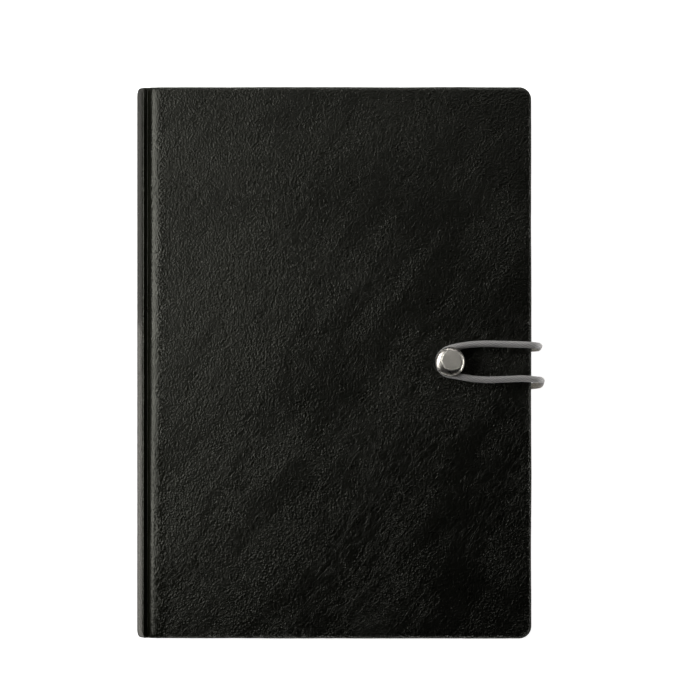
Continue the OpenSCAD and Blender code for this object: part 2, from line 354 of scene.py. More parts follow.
def leather_material():
    """Black pebbled leather: two sizes of pebbles, patches where they flatten out, and slanting creases."""
    t = Tree("black_leather")
    place = t.rest()
    slanted = t.rest(scale=(300, 1000, 1000), turn=math.radians(-52))
    drawn = t.rest(scale=(700, 1000, 1000), turn=math.radians(-60))
    cells = t.voronoi(t.warped(place, 0.8, 0.5), 1.28)
    fine = t.voronoi(t.warped(place, 1.8, 0.3), 2.2)
    patch = t.ramp(t.noise(slanted, 0.07, 3.0, 0.6), 0.35, 0.65)
    wrinkle = t.noise(slanted, 0.34, 3.0, 0.6, 0.4)
    crease = t.ramp(t.math("ABSOLUTE", t.math("SUBTRACT", wrinkle, 0.5)), 0.0, 0.04, 1.0, 0.0)
    crease = t.math("MULTIPLY", crease, t.ramp(t.noise(place, 0.04, 2.0), 0.42, 0.62))
    strength = t.ramp(patch, 0.0, 1.0, 0.72, 1.12)
    grain = t.math("ADD", t.math("MULTIPLY", cells, -0.30), t.math("MULTIPLY", fine, -0.13))
    grain = t.math("MULTIPLY", grain, strength)
    height = t.math("SUBTRACT", grain, t.math("MULTIPLY", crease, 0.10))
    height = t.math("ADD", height, t.math("MULTIPLY", t.noise(drawn, 2.2, 3.0, 0.6), 0.08))
    # The leather is stretched smoother over the spine and the groove, up to X -63 millimetres
    across = t.add("ShaderNodeSeparateXYZ", {"Vector": place}).outputs["X"]
    height = t.math("MULTIPLY", height, t.ramp(across, -71, -63, 0.35, 1.0))
    normal = t.bump(height, 0.001)
    tint = t.color(patch, (0.0016, 0.0018, 0.0008), (0.0028, 0.0031, 0.0016))
    pits = t.math("MULTIPLY", t.ramp(cells, 0.3, 0.8, 0.0, 0.2), t.ramp(across, -69.5, -63, 0.25, 1.0))
    smooth = t.math("ADD", t.ramp(across, -69.5, -64, 0.19, 0.27), t.ramp(patch, 0.0, 1.0, 0.015, -0.01))
    smooth = t.math("ADD", smooth, t.ramp(t.noise(drawn, 0.16, 4.0, 0.7), 0.3, 0.7, -0.02, 0.03))
    rough = t.math("ADD", smooth, pits)
    t.put(Base_Color=tint, Roughness=rough, Normal=normal, Specular_IOR_Level=0.3)
    t.put(Specular_Tint=(1.0, 1.0, 0.88, 1))
    return t.material


def metal_material(name, color, roughness, flat=None):
    """Satin metal; flat is the centre, radius and roughness of a grainy face on it."""
    t = Tree(name)
    place = t.rest()
    stretched = t.rest(scale=(1000, 9000, 1000), turn=0.5)
    smear = t.noise(place, 0.45, 3.0)
    scratch = t.noise(stretched, 1.2, 4.0, 0.7)
    tone = t.color(smear, tuple(0.8 * c for c in color), tuple(1.15 * c for c in color))
    wear = t.math("ADD", t.math("MULTIPLY", scratch, 0.5), t.math("MULTIPLY", smear, 0.5))
    rough = t.ramp(wear, 0.3, 0.7, roughness - 0.06, roughness + 0.1)
    normal = t.bump(scratch, 0.00002)
    if flat:
        centre, radius, flat_rough = flat
        away = t.add("ShaderNodeVectorMath", {0: place, 1: centre}, operation="DISTANCE").outputs["Value"]
        on_flat = t.ramp(away, radius - 0.3, radius + 0.3, 1.0, 0.0)
        rough = t.math("ADD", rough, t.math("MULTIPLY", on_flat, flat_rough - roughness))
        grit = t.math("MULTIPLY", t.noise(place, 3.5, 4.0, 0.7), on_flat)
        normal = t.bump(grit, 0.0003, normal=normal)
    t.put(Base_Color=tone, Metallic=1.0, Roughness=rough, Normal=normal)
    return t.material


def paper_material(name, color):
    t = Tree(name)
    place = t.rest()
    fibre = t.noise(place, 3.0, 4.0, 0.65)
    cloud = t.noise(place, 0.05, 2.0)
    grain = t.math("ADD", t.math("MULTIPLY", fibre, 0.5), t.math("MULTIPLY", cloud, 0.5))
    tone = t.color(grain, tuple(0.92 * c for c in color), color)
    t.put(Base_Color=tone, Roughness=0.85, Normal=t.bump(fibre, 0.00003), Specular_IOR_Level=0.25)
    return t.material


def board_material():
    t = Tree("greyboard")
    place = t.rest()
    fibre = t.noise(place, 2.2, 5.0, 0.7)
    fleck = t.ramp(t.voronoi(place, 1.1), 0.05, 0.2)
    tone = t.color(t.math("MULTIPLY", fibre, fleck), (0.16, 0.12, 0.08), (0.36, 0.29, 0.2))
    t.put(Base_Color=tone, Roughness=0.92, Normal=t.bump(fibre, 0.0001), Specular_IOR_Level=0.2)
    return t.material


def weave_material(name, dark, light, pitch):
    """Plain weave of threads pitch millimetres apart."""
    t = Tree(name)
    waves = []
    for axis in ((1, 0, 0), (0, 1, 1)):
        place = t.rest(scale=tuple(1000 * a for a in axis))
        split = t.add("ShaderNodeSeparateXYZ", {"Vector": place})
        total = t.math("ADD", t.math("ADD", split.outputs[0], split.outputs[1]), split.outputs[2])
        waves.append(t.math("SINE", t.math("MULTIPLY", total, 2 * math.pi / pitch)))
    both = t.math("ADD", t.math("MULTIPLY", waves[0], waves[1]), 1.0)
    fuzz = t.noise(t.rest(), 5.0, 3.0)
    mixed = t.math("ADD", t.math("MULTIPLY", both, 0.4), t.math("MULTIPLY", fuzz, 0.3))
    t.put(Base_Color=t.color(mixed, dark, light), Roughness=0.9, Normal=t.bump(mixed, 0.0001))
    return t.material


def elastic_material():
    t = Tree("elastic_braid")
    place = t.rest()
    fuzz = t.noise(place, 9.0, 3.0, 0.7)
    braid_shade = t.add("ShaderNodeAttribute", attribute_name="braid").outputs["Fac"]
    # Painted shade: the colour goes dark where the braid's height is low, in the grooves between its
    # strands, mixed with random fuzz
    light = t.math("ADD", t.math("MULTIPLY", braid_shade, 0.75), t.math("MULTIPLY", fuzz, 0.3))
    tone = t.color(light, (0.14, 0.136, 0.131), (0.60, 0.582, 0.57))
    t.put(Base_Color=tone, Roughness=0.5, Normal=t.bump(fuzz, 0.00006), Specular_IOR_Level=0.5)
    t.put(Sheen_Weight=0.1, Sheen_Roughness=0.4)
    return t.material


LEATHER = leather_material()
# The flat on the stud's cap lies a little off the cap's centre, towards the fore edge and the head
FLAT_OFF = Vector((0.62, 0.48)) * MM
FLAT_CENTRE = ((STUD.x + FLAT_OFF.x) / MM, (STUD.y + FLAT_OFF.y) / MM, CAP_HI.z / MM)
FLAT_R_MM, FLAT_ROUGHNESS = 3.9, 0.44
STUD_FLAT = (FLAT_CENTRE, FLAT_R_MM, FLAT_ROUGHNESS)
STUD_METAL = metal_material("stud_metal", (0.50, 0.477, 0.43), 0.28, STUD_FLAT)
WASHER_METAL = metal_material("washer_metal", (0.38, 0.36, 0.33), 0.33)
ENDPAPER = paper_material("endpaper", (0.80, 0.75, 0.63))
PAPER = paper_material("page_paper", (0.87, 0.83, 0.73))
BOARD = board_material()
GAUZE = weave_material("gauze", (0.45, 0.41, 0.33), (0.75, 0.70, 0.6), 0.9)
BAND = weave_material("band_silk", (0.02, 0.02, 0.02), (0.35, 0.34, 0.32), 0.7)
THREAD = weave_material("linen_thread", (0.6, 0.57, 0.5), (0.85, 0.82, 0.75), 0.3)
ELASTIC = elastic_material()

# ---- Leather skins ----

# Outer face of the spine's shoulder, the groove and the board's rounded edge, in millimetres from the
# spine's outermost line and from the front cover's face
GROOVE = [
    (2.16, -3.05), (2.5, -2.6), (2.95, -2.38), (3.5, -2.55), (4.05, -2.95), (4.33, -3.2), (4.42, -3.23),
    (4.5, -3.15), (4.7, -2.75), (5.15, -1.95), (5.6, -1.38), (6.15, -0.96), (6.8, -0.67), (7.5, -0.44),
    (8.3, -0.25), (9.2, -0.11), (10.2, -0.03), (11.5, 0),
]
# Where the spine gives way to the groove, and the groove to the board: the start and the end of a smooth
# change, from the spine's outermost line
SPINE_END = (2 * MM, 3.2 * MM)
BOARD_START = (5.5 * MM, 6.7 * MM)
GRID = 0.8 * MM
# Rounding of the covers' edges and of the spine's ends: how far in from the edge, and how deep
EDGE_IN, EDGE_DEEP = 1.5 * MM, 1.1 * MM
CAP_IN, CAP_DEEP = 3.0 * MM, 1.15 * MM
GROOVE_DEEP = 0.5 * MM
# Length over which the grid's lines give way to the spine's rounded ends
CAP_REACH = 8 * MM
# Thickness of the case's folded ends at the spine and the groove, and of the leather in the groove
SPINE_END_T, GROOVE_END_T, GROOVE_T = 1.5 * MM, 1.15 * MM, 0.55 * MM
# Reach of the turn-ins inside a cover, and inside the spine and the groove
TURN_IN, CAP_TURN_IN = 15.9 * MM, 5.8 * MM
TURN_IN_T, CAP_TURN_IN_T = 0.4 * MM, 0.2 * MM
# An end thicker than this is a board's
THICK_END = 2 * MM
# Rounding of the edge's lower side, its smallest value, and what it leaves of the wall beside it
UNDER_R, MIN_UNDER_R, UNDER_GAP, MIN_WALL = 0.6 * MM, 0.15 * MM, 0.02 * MM, 0.01 * MM
# Centres of the two fore corners, and the radius of the flat part of the cover round them
X_CORNER, Y_CORNER = FORE - CORNER_R, HEAD - CORNER_R
CORNER_FLAT = CORNER_R - EDGE_IN
CORNER_STEPS = 5
MIN_CORNER_R = 0.3 * MM
# Length over which the lines beside a corner give way to the turn-in's tighter corner
CORNER_FADE = 40 * MM
TINY = 1e-9
# Relief: the creases' slant, its highest lift, the fade at mid spine and the softer part near the spine
CREASE_TURN = math.radians(52)
LIFT_MAX = 0.12 * MM
SPINE_FADE, SOFT_FROM, SOFT_TO, SOFTER = 2 * MM, 8 * MM, 3 * MM, 0.6
# The leather's dip round the stud: its depth and the radii between which it fades out
DIP_DEEP, DIP_R, DIP_END = 0.22 * MM, 4 * MM, 11 * MM


def section():
    """Points and outward normals of the front half's outer face, from mid spine to the corner."""
    bulge, half = GROOVE[0][0] * MM, MID_Z + GROOVE[0][1] * MM
    radius = (half**2 + bulge**2) / (2 * bulge)
    angles = np.linspace(0, math.asin(half / radius), 12)[:-1]
    arc = np.stack([LEFT + radius * (1 - np.cos(angles)), MID_Z + radius * np.sin(angles)], axis=1)
    groove = smooth_path(np.array(GROOVE) * MM + [LEFT, TOP], 4)
    steps = int((X_CORNER - groove[-1, 0]) / GRID)
    flat_x = np.linspace(groove[-1, 0], X_CORNER, steps + 1)[1:]
    flat = np.stack([flat_x, np.full(len(flat_x), TOP)], axis=1)
    points = np.vstack([arc, groove, flat])
    tangent = unit(np.gradient(points, axis=0))
    normals = np.stack([-tangent[:, 1], tangent[:, 0]], axis=1)
    normals[0] = (-1, 0)
    return points, normals


def ease(x, a, b):
    t = np.clip((x - a) / (b - a), 0, 1)
    return t * t * (3 - 2 * t)


def corner_steps():
    return CORNER_FLAT * np.arange(1, CORNER_STEPS + 1) / CORNER_STEPS


def skin_profile():
    """The whole section up to the fore edge, with the measures of the case's ends at each of its points."""
    points, normals = section()
    points = np.vstack([points, np.stack([X_CORNER + corner_steps(), np.full(CORNER_STEPS, TOP)], axis=1)])
    normals = np.vstack([normals, np.tile([0, 1], (CORNER_STEPS, 1))])
    from_left = points[:, 0] - LEFT
    on_board = ease(from_left, *BOARD_START)
    on_spine = 1 - ease(from_left, *SPINE_END)
    on_groove = 1 - np.maximum(on_board, on_spine)
    board_end_t = BOARD_T - (TOP - points[:, 1])
    # Depth is measured straight down over the board, so that its end is covered right up to the groove
    outward = unit(normals * (1 - on_board)[:, None] + np.array([0.0, 1.0]) * on_board[:, None])
    return SimpleNamespace(
        points=points,
        outward=outward,
        end_t=on_board * board_end_t + on_groove * GROOVE_END_T + on_spine * SPINE_END_T,
        leather_t=on_board * LEATHER_T + on_groove * GROOVE_T + on_spine * LEATHER_T,
        turn_in=on_board * TURN_IN + (1 - on_board) * CAP_TURN_IN,
        edge_in=on_board * EDGE_IN + (1 - on_board) * CAP_IN,
        edge_deep=on_board * EDGE_DEEP + on_groove * GROOVE_DEEP + on_spine * CAP_DEEP,
    )


def skin_lines():
    """Y of the grid's lines, from tail to head."""
    straight = np.linspace(-Y_CORNER, Y_CORNER, int(2 * Y_CORNER / GRID) + 1)
    return np.concatenate([-(Y_CORNER + corner_steps()[::-1]), straight, Y_CORNER + corner_steps()])


def skin_grid(profile, y_line):
    """The outer face as a grid, its two fore corners rounded and its ends short of the headcaps."""
    n_v = len(y_line)
    grid = np.empty((len(profile.points), n_v, 3))
    near_end = np.clip((np.abs(y_line) - (y_line[-1] - CAP_REACH)) / CAP_REACH, 0, 1)
    for i, (px, pz) in enumerate(profile.points):
        y = np.sign(y_line) * (np.abs(y_line) - near_end * (profile.edge_in[i] - EDGE_IN))
        x = np.full(n_v, px)
        a = (px - X_CORNER) / CORNER_FLAT
        b = (np.abs(y_line) - Y_CORNER) / CORNER_FLAT
        if a > TINY:
            inside = b > 0
            bb = b[inside]
            x[inside] = X_CORNER + CORNER_FLAT * a * np.sqrt(1 - bb**2 / 2)
            y[inside] = np.sign(y_line[inside]) * (Y_CORNER + CORNER_FLAT * bb * math.sqrt(1 - a * a / 2))
        grid[i] = np.stack([x, y, np.full(n_v, pz)], axis=1)
    return grid


def skin_border(profile, y_line, grid):
    """The grid's edge, from mid spine along the head, down the fore edge and back along the tail."""
    n_s, n_v = grid.shape[:2]
    places = [(i, n_v - 1) for i in range(n_s)]
    places += [(n_s - 1, j) for j in range(n_v - 2, -1, -1)]
    places += [(i, 0) for i in range(n_s - 2, -1, -1)]
    border = []
    for i, j in places:
        x, y, _ = grid[i, j]
        past_x = profile.points[i, 0] > X_CORNER + TINY
        past_y = abs(y_line[j]) > Y_CORNER + TINY
        kind = "corner" if past_x and past_y else "fore" if past_x else "end"
        angle = math.atan2(abs(y) - Y_CORNER, x - X_CORNER)
        border.append(SimpleNamespace(i=i, j=j, x=x, y=y, side=math.copysign(1, y), kind=kind, angle=angle))
    return border


def skin_ring(profile, border, d, h):
    """The border moved to d in from the outline and h deep."""
    out = np.empty((len(border), 3))
    r = np.maximum(CORNER_R - d, MIN_CORNER_R)
    shift = np.maximum(d + r - CORNER_R, 0)
    for k, at in enumerate(border):
        if at.kind == "corner":
            x = X_CORNER - shift[k] + r[k] * math.cos(at.angle)
            y = at.side * (Y_CORNER - shift[k]) + r[k] * (math.sin(at.angle) * at.side)
            z = TOP - h[k]
        elif at.kind == "fore":
            fade = min(max((abs(at.y) - (Y_CORNER - CORNER_FADE)) / CORNER_FADE, 0), 1)
            x = FORE - d[k]
            y = at.y - at.side * fade * shift[k]
            z = TOP - h[k]
        else:
            fade = min(max((at.x - (X_CORNER - CORNER_FADE)) / CORNER_FADE, 0), 1)
            x = profile.points[at.i, 0] - profile.outward[at.i, 0] * h[k] - fade * shift[k]
            y = at.side * (HEAD - d[k])
            z = profile.points[at.i, 1] - profile.outward[at.i, 1] * h[k]
        out[k] = (x, y, z)
    return out


def skin_rings(profile, border):
    """All rings, outside ones first, and how many lie outside.

    They run round the edge and along the turn-in, then inside it back to the inner face.
    """
    ids = [at.i for at in border]
    edge_in, edge_deep = profile.edge_in[ids], profile.edge_deep[ids]
    end_t, turn_in, leather_t = profile.end_t[ids], profile.turn_in[ids], profile.leather_t[ids]
    under = np.maximum(np.minimum(UNDER_R, end_t - edge_deep - UNDER_GAP), MIN_UNDER_R)
    foot = np.maximum(end_t - under, edge_deep + MIN_WALL)
    steps = []
    for phi in np.radians([15, 30, 45, 60, 75, 90]):
        steps.append((edge_in * (1 - np.sin(phi)), edge_deep * (1 - np.cos(phi))))
    for f in (0.33, 0.67, 1.0):
        steps.append((0 * edge_in, edge_deep + f * (foot - edge_deep)))
    for phi in np.radians([30, 60, 90]):
        steps.append((under * (1 - np.cos(phi)), foot + (end_t - foot) * np.sin(phi)))
    for f in (0.15, 0.4, 0.7, 1.0):
        steps.append((under + f * (turn_in - under), end_t))
    n_outside = len(steps)
    fold_t = np.where(end_t > THICK_END, TURN_IN_T, CAP_TURN_IN_T)
    steps += [(turn_in, end_t - fold_t), (leather_t, end_t - fold_t), (leather_t, leather_t)]
    return [skin_ring(profile, border, d, h) for d, h in steps], n_outside


def skin_mesh(grid, border, rings):
    """Points and faces of the closed skin."""
    n_s, n_v = grid.shape[:2]
    n_b = len(border)
    verts, faces = list(grid.reshape(-1, 3)), []
    for i in range(n_s - 1):
        for j in range(n_v - 1):
            a = i * n_v + j
            faces.append((a, a + n_v, a + n_v + 1, a + 1))
    start = len(verts)
    previous = [at.i * n_v + at.j for at in border]
    for ring in rings:
        current = list(range(len(verts), len(verts) + n_b))
        verts.extend(ring)
        for k in range(n_b - 1):
            faces.append((previous[k], previous[k + 1], current[k + 1], current[k]))
        previous = current
    # Inner face: long strips from head to tail, the last one taking in the whole fore edge
    half = n_s - 1 + CORNER_STEPS
    head, tail = previous[: half + 1], previous[::-1][: half + 1]
    for k in range(half - 1):
        faces.append((head[k], head[k + 1], tail[k + 1], tail[k]))
    faces.append((head[half - 1], *previous[half : n_b - half], tail[half - 1]))
    # The cut at the spine's middle line
    head_cut = [start + r * n_b for r in range(len(rings))]
    tail_cut = [start + r * n_b + n_b - 1 for r in range(len(rings))]
    faces.append((*range(n_v), *head_cut, *reversed(tail_cut)))
    return np.array(verts), faces


def leather_relief(co, lumps):
    """Height of the leather's broad undulations and pressed creases, in metres."""
    cos, sin = math.cos(CREASE_TURN), math.sin(CREASE_TURN)
    out = np.empty(len(co))
    for i, (x, y, z) in enumerate(co / MM):
        along = x * cos + y * sin
        across = y * cos - x * sin
        broad = noise.noise((along * 0.02, across * 0.05, z * 0.04))
        fold = noise.noise((along * 0.05 + 9, across * 0.16, z * 0.1))
        tight = noise.noise((along * 0.13, across * 0.45 + 5, z * 0.3))
        pebble = noise.noise((along * 0.5, across * 0.8, z * 0.6 + 3))
        crease = max(0.0, 1 - abs(fold) / 0.07) * 0.35 + max(0.0, 1 - abs(tight) / 0.1) * 0.3
        out[i] = 0.17 * broad + 0.035 * tight + 0.012 * pebble - 0.045 * crease
    return out * MM * lumps


def add_relief(obj, co, count, front):
    """Moves the skin's first count points, its outside, by the leather's relief and the stud's dip."""
    normals = np.empty(len(obj.data.vertices) * 3, np.float32)
    obj.data.vertex_normals.foreach_get("vector", normals)
    normals = normals.reshape(-1, 3)
    fade = ease(np.abs(co[:count, 2] - MID_Z), 0, SPINE_FADE)
    fade *= 1 - SOFTER * ease(-co[:count, 0], -LEFT - SOFT_FROM, -LEFT - SOFT_TO)
    lift = leather_relief(co[:count], fade)
    if front:
        near = np.hypot(co[:count, 0] - STUD.x, co[:count, 1] - STUD.y)
        lift -= DIP_DEEP * (1 - ease(near, DIP_R, DIP_END)) * (co[:count, 2] > TOP - 1 * MM)
    lift = np.minimum(lift, LIFT_MAX)
    co[:count] += normals[:count] * lift[:, None]
    if not front:
        co[:count, 2] = np.maximum(co[:count, 2], 0)
    obj.data.vertices.foreach_set("co", co.astype(np.float32).ravel())
    obj.data.update()


def case_skin(name, front):
    """One half of the case's leather, closed: half the spine, groove, board, edges and turn-ins."""
    profile, y_line = skin_profile(), skin_lines()
    grid = skin_grid(profile, y_line)
    border = skin_border(profile, y_line, grid)
    rings, n_outside = skin_rings(profile, border)
    co, faces = skin_mesh(grid, border, rings)
    if not front:
        co[:, 2] = TOP - co[:, 2]
    obj = new_mesh(name, co, faces)
    fix_normals(obj)
    add_relief(obj, co, grid.shape[0] * grid.shape[1] + n_outside * len(border), front)
    return obj


def make_skins():
    front = case_skin("front_skin", True)
    finish_piece(
        front, LEATHER, replaces=("front_leather", "front_joint_leather", "spine_leather")
    )
    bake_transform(front)
    back = case_skin("back_skin", False)
    finish_piece(back, LEATHER, replaces=("back_leather", "back_joint_leather"))
    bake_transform(back)


make_skins()

# ---- Stud ----

# The cap's outline: radius and height over its top in millimetres, and how far each ring follows the flat
CAP_OUTLINE = [
    (0, 0, 1), (1.6, 0, 1), (3.2, -0.008, 1), (3.8, -0.02, 1), (4.05, -0.05, 0.97), (4.25, -0.12, 0.9),
    (4.55, -0.3, 0.72), (4.95, -0.58, 0.45), (5.3, -0.92, 0.2), (5.56, -1.26, 0.05), (5.7, -1.55, 0),
    (5.75, -1.78, 0), (5.7, -1.93, 0), (5.55, -2, 0),
]
# The outline's widest radius, which is scaled to the CAD cap's
OUTLINE_R = 5.75 * MM
CAP_DEPTH = 2 * MM
POST_R, POST_FOOT_R, BORE_R = 3.0 * MM, 3.15 * MM, 1.6 * MM
STUD_SIDES, WASHER_SIDES = 72, 64
# Edges sharper than this, in degrees, are shaded sharp
SHARP = 50


def make_cap():
    """Cap and post, turned, with the flat on the cap a little off centre."""
    post_z = CAP_LO.z
    cap_r = (CAP_HI.x - CAP_LO.x) / 2
    top = CAP_HI.z
    under = top - CAP_DEPTH
    rings = [(r * MM * cap_r / OUTLINE_R, top + z * MM, s) for r, z, s in CAP_OUTLINE]
    rings += [(3.2 * MM, under, 0), (POST_R, under - 0.15 * MM, 0), (POST_R, post_z + 0.1 * MM, 0)]
    rings += [(POST_FOOT_R, post_z, 0), (BORE_R, post_z, 0)]
    n = STUD_SIDES
    off = FLAT_OFF
    verts, faces = [(STUD.x + off.x, STUD.y + off.y, top)], []
    for r, z, s in rings[1:]:
        for k in range(n):
            a = 2 * math.pi * k / n
            verts.append((STUD.x + s * off.x + r * math.cos(a), STUD.y + s * off.y + r * math.sin(a), z))
    for k in range(n):
        faces.append((0, 1 + k, 1 + (k + 1) % n))
    for i in range(len(rings) - 2):
        for k in range(n):
            a, b = 1 + i * n + k, 1 + i * n + (k + 1) % n
            faces.append((a, a + n, b + n, b))
    last = 1 + (len(rings) - 2) * n
    faces.append(tuple(last + k for k in range(n)))
    obj = new_mesh("stud_cap_turned", verts, faces)
    fix_normals(obj)
    sharp_edges(obj, SHARP)
    finish_piece(obj, STUD_METAL, "front_cover", ("stud_cap",))


def make_washer():
    lo, hi = (Vector(c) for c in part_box("stud_washer"))
    outer = (hi.x - lo.x) / 2
    t = hi.z - lo.z
    outline = [(BORE_R, 0), (outer - 0.1 * MM, 0), (outer, 0.1 * MM), (outer, t * 0.5)]
    outline += [(outer - 0.12 * MM, t * 0.8), (outer - 0.4 * MM, t), (BORE_R, t)]
    n = WASHER_SIDES
    verts, faces = [], []
    for r, z in outline:
        for k in range(n):
            a = 2 * math.pi * k / n
            verts.append((STUD.x + r * math.cos(a), STUD.y + r * math.sin(a), lo.z + z))
    m = len(outline)
    for i in range(m):
        for k in range(n):
            a, b = i * n + k, i * n + (k + 1) % n
            c, d = ((i + 1) % m) * n + k, ((i + 1) % m) * n + (k + 1) % n
            faces.append((a, c, d, b))
    obj = new_mesh("stud_washer_turned", verts, faces)
    fix_normals(obj)
    sharp_edges(obj, SHARP)
    finish_piece(obj, WASHER_METAL, "front_cover", ("stud_washer",))


make_cap()
make_washer()

# ---- Elastic ----

# The elastic's route in millimetres: X from the fore edge, Y, and Z from the front cover's face for the
# loop and from the floor for the two strands' lower ends
LOOP_PATH = [
    (3.2, 6.2, -8), (3.2, 6.4, -5), (3.1, 6.5, -2.4), (2.6, 6.6, -0.3), (1.2, 6.8, 1.1),
    (-0.8, 6.95, 1.5), (-4.3, 7.1, 1.45), (-10.8, 7.3, 1.4), (-17.8, 7.4, 1.4), (-22.8, 7.2, 1.45),
    (-26.6, 6.75, 1.6), (-29.4, 6.25, 1.8), (-31.8, 5.6, 1.85), (-34, 4.55, 1.85), (-35.6, 2.8, 1.85),
    (-36.17, 0.6, 1.85), (-35.75, -1.7, 1.85), (-34.4, -3.5, 1.85), (-32.2, -4.6, 1.85),
    (-29.4, -5.15, 1.75), (-26.4, -5.65, 1.6), (-22.4, -6.25, 1.45), (-16.8, -6.6, 1.4),
    (-10.8, -6.4, 1.4), (-4.3, -6.15, 1.45), (-0.8, -6.3, 1.55), (1.6, -6.5, 1.3), (3.3, -6.7, 0),
    (4, -6.95, -2.2), (4.1, -7.3, -5), (4.1, -7.7, -8),
]
STRAND_STARTS = [
    [
        (-3, 5.6, 2.1), (-1.4, 5.6, 2.1), (0, 5.6, 2.1), (1.1, 5.6, 2.15), (2.2, 5.6, 2.8),
        (2.9, 5.7, 4.1), (3.2, 5.8, 5.8),
    ],
    [
        (-3, -9.2, 2.1), (-1.4, -9.2, 2.1), (0, -9.2, 2.1), (1.3, -9.2, 2.15), (2.8, -9, 2.9),
        (3.7, -8.8, 4.3), (4.1, -8.5, 6),
    ],
]
CORD_D = 2.6 * MM
CORD_SIDES = 32
CORD_STEP = 0.22 * MM
BRAID_DEPTH = 0.16 * MM
BRAID_PITCH = 4.2 * MM
BRAID_STRANDS = 8


def braid(angle, s):
    """Height from 0 to 1 of a braided cover at an angle round the cord and a distance along it."""
    turns = 2 * math.pi * s / BRAID_PITCH
    right = BRAID_STRANDS * angle / 2 + turns
    left = BRAID_STRANDS * angle / 2 - turns
    over = np.abs(np.cos(right)) ** 0.8
    across = np.abs(np.cos(left)) ** 0.8
    swap = 0.5 + 0.5 * np.sign(np.sin(right) * np.sin(left))
    return swap * over + (1 - swap) * across


def cord_mesh(name, routes):
    """One mesh of braided tubes, each along a path of points with their distances along the whole cord."""
    verts, faces, value = [], [], []
    angles = 2 * np.pi * np.arange(CORD_SIDES) / CORD_SIDES
    for path, s in routes:
        tangent = unit(np.gradient(path, axis=0))
        # The small second term keeps this from being zero where a cord starts upright
        across = np.cross(tangent[0], (0.0, 0.0, 1.0)) + np.cross(tangent[0], (0.0, 1.0, 0.0)) * 1e-3
        across = unit(across)
        start = len(verts)
        for i, p in enumerate(path):
            across = unit(across - tangent[i] * (across @ tangent[i]))
            other = np.cross(tangent[i], across)
            height = braid(angles, s[i])
            radius = CORD_D / 2 - BRAID_DEPTH * (1 - height)
            for a, r, h in zip(angles, radius, height):
                verts.append(p + r * (math.cos(a) * across + math.sin(a) * other))
                value.append(h)
        n = len(path)
        for i in range(n - 1):
            for k in range(CORD_SIDES):
                a, b = start + i * CORD_SIDES + k, start + i * CORD_SIDES + (k + 1) % CORD_SIDES
                faces.append((a, a + CORD_SIDES, b + CORD_SIDES, b))
        faces.append(tuple(start + k for k in range(CORD_SIDES)))
        faces.append(tuple(start + (n - 1) * CORD_SIDES + k for k in range(CORD_SIDES)))
    obj = new_mesh(name, verts, faces)
    fix_normals(obj)
    # The braid's height, which the elastic's material also uses for painted shade in the grooves
    attribute = obj.data.attributes.new("braid", "FLOAT", "POINT")
    attribute.data.foreach_set("value", np.array(value, np.float32))
    return obj


def make_elastic():
    offset = np.array([FORE, 0, TOP])
    loop = np.array(LOOP_PATH) * MM + offset
    starts = [np.array(p) * MM + [FORE, 0, 0] for p in STRAND_STARTS]
    whole = np.vstack([starts[0], loop, starts[1][::-1]])
    path, s = evenly(smooth_path(whole, 12), CORD_STEP)
    # Split where the two strands pass the loop's ends
    low = path[:, 2] < loop[0, 2]
    first = int(np.argmax(~low))
    last = len(path) - int(np.argmax(~low[::-1])) - 1
    middle = slice(first - 1, last + 2)
    hook = cord_mesh("elastic_loop_braid", [(path[middle], s[middle])])
    finish_piece(hook, ELASTIC, replaces=("elastic_loop",))
    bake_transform(hook)
    routes = [(path[:first], s[:first]), (path[last + 1 :], s[last + 1 :])]
    strands = cord_mesh("elastic_strand_braid", routes)
    finish_piece(strands, ELASTIC, replaces=("elastic_riser",))
    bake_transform(strands)


make_elastic()

# ---- Pages ----

SIGNATURES = 8
SHEETS = 8
PAGE_STEPS = 10
# A leaf's share of the room it has in the signature
LEAF_SHARE = 0.84
PASTEDOWN_T, PASTEDOWN_DIP, DIP_SLOPE = 0.15 * MM, 0.3 * MM, 1.6 * MM
# Paper across the front joint: its thickness, its inset at head and tail, and its lift over the flyleaf
JOINT_PAPER_T, JOINT_PAPER_IN, JOINT_PAPER_UP = 0.1 * MM, 2.6 * MM, 0.03 * MM


def ribbon(path, y0, y1, thickness, rows):
    """A closed sheet: a path in X and Z with a thickness, drawn along Y in some rows."""
    tangent = unit(np.gradient(path, axis=0))
    normal = np.stack([-tangent[:, 1], tangent[:, 0]], axis=1)
    loop = np.vstack([path + normal * thickness / 2, (path - normal * thickness / 2)[::-1]])
    n = len(loop)
    verts, faces = [], []
    for y in np.linspace(y0, y1, rows):
        verts.extend((x, y, z) for x, z in loop)
    for i in range(rows - 1):
        for k in range(n):
            a, b = i * n + k, i * n + (k + 1) % n
            faces.append((a, b, b + n, a + n))
    half = len(path)
    for at in (0, (rows - 1) * n):
        for k in range(half - 1):
            faces.append((at + k, at + k + 1, at + n - 2 - k, at + n - 1 - k))
    return verts, faces


